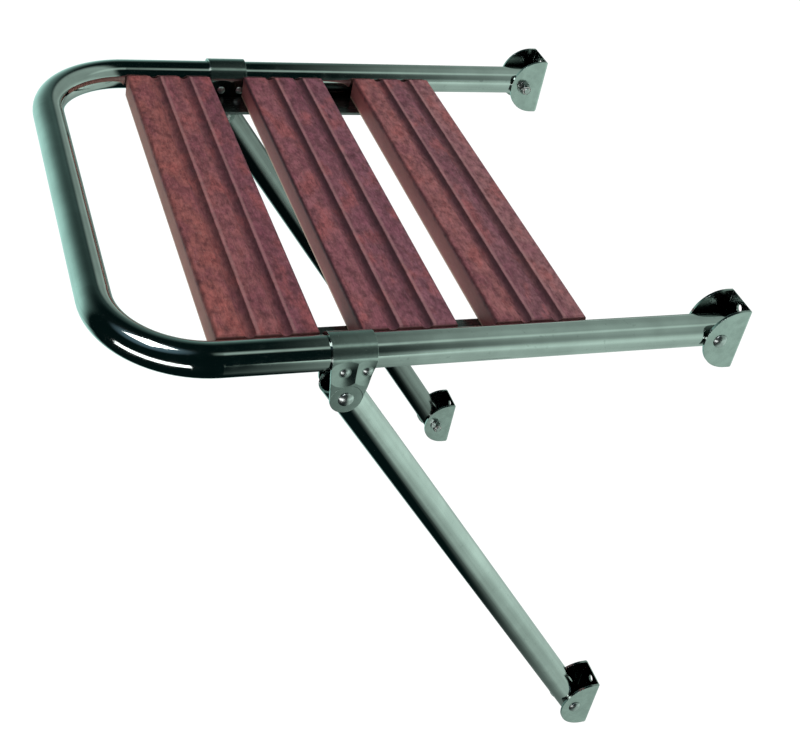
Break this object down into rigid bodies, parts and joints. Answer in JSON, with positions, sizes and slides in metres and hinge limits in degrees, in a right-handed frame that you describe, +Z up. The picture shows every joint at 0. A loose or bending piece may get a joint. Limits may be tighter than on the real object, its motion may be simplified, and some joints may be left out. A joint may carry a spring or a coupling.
{
  "type": "folding transom boarding platform",
  "caption": "U-shaped steel tube frame with grooved wooden slats, hinged on clevis brackets and braced by two tube struts hung from riveted saddle clamps.",
  "frame": {"origin": "midway between the two hinge pins of the arms", "axes": "+X along the arms towards the transom, +Y to port, +Z up; the bow of the tube frame is on -X"},
  "size_m": [0.4933, 0.4366, 0.497],
  "materials": {
    "polished_tube": "polished",
    "strut_tube": "polished",
    "flat_bar": "polished",
    "pressed_sheet": "satin",
    "fastener_steel": "polished",
    "nut_steel": "satin",
    "nylon": "satin",
    "slat_wood": "satin"
  },
  "bodies": {
    "transom_brackets": {"hinge_bracket_port": "pressed_sheet", "hinge_bracket_starboard": "pressed_sheet", "hinge_bolts": "fastener_steel", "hinge_washers": "fastener_steel", "hinge_nuts": "nut_steel", "hinge_nut_rings": "nylon"},
    "platform": {"frame_tube": "polished_tube", "outer_slat": "slat_wood", "middle_slat": "slat_wood", "inner_slat": "slat_wood", "rail_port": "flat_bar", "rail_starboard": "flat_bar", "slat_screws": "fastener_steel", "saddle_port": "pressed_sheet", "saddle_starboard": "pressed_sheet", "saddle_rivets": "fastener_steel", "strut_bolts": "fastener_steel", "strut_washers": "fastener_steel", "strut_nuts": "nut_steel", "strut_nut_rings": "nylon"},
    "brace_port": {"strut_port": "strut_tube"},
    "brace_starboard": {"strut_starboard": "strut_tube"},
    "foot_port": {"foot_bracket_port": "pressed_sheet", "foot_bolt_port": "fastener_steel", "foot_washer_port": "fastener_steel", "foot_nut_port": "nut_steel", "foot_nut_ring_port": "nylon"},
    "foot_starboard": {"foot_bracket_starboard": "pressed_sheet", "foot_bolt_starboard": "fastener_steel", "foot_washer_starboard": "fastener_steel", "foot_nut_starboard": "nut_steel", "foot_nut_ring_starboard": "nylon"}
  },
  "joints": [
    {"name": "platform_hinge", "type": "hinge", "parent": "transom_brackets", "child": "platform", "pos_m": [0, 0, 0], "axis": [0, 1, 0], "range_deg": [0, 90]},
    {"name": "brace_swing_port", "type": "hinge", "parent": "platform", "child": "brace_port", "pos_m": [-0.297, 0.2, -0.031], "axis": [0, -1, 0], "range_deg": [-126, 52]},
    {"name": "brace_swing_starboard", "type": "hinge", "parent": "platform", "child": "brace_starboard", "pos_m": [-0.297, -0.2, -0.031], "axis": [0, -1, 0], "range_deg": [-126, 52]},
    {"name": "foot_swivel_port", "type": "hinge", "parent": "brace_port", "child": "foot_port", "pos_m": [0, 0.2, -0.443], "axis": [0, 1, 0], "range_deg": [-45, 150]},
    {"name": "foot_swivel_starboard", "type": "hinge", "parent": "brace_starboard", "child": "foot_starboard", "pos_m": [0, -0.2, -0.443], "axis": [0, 1, 0], "range_deg": [-45, 150]}
  ]
}
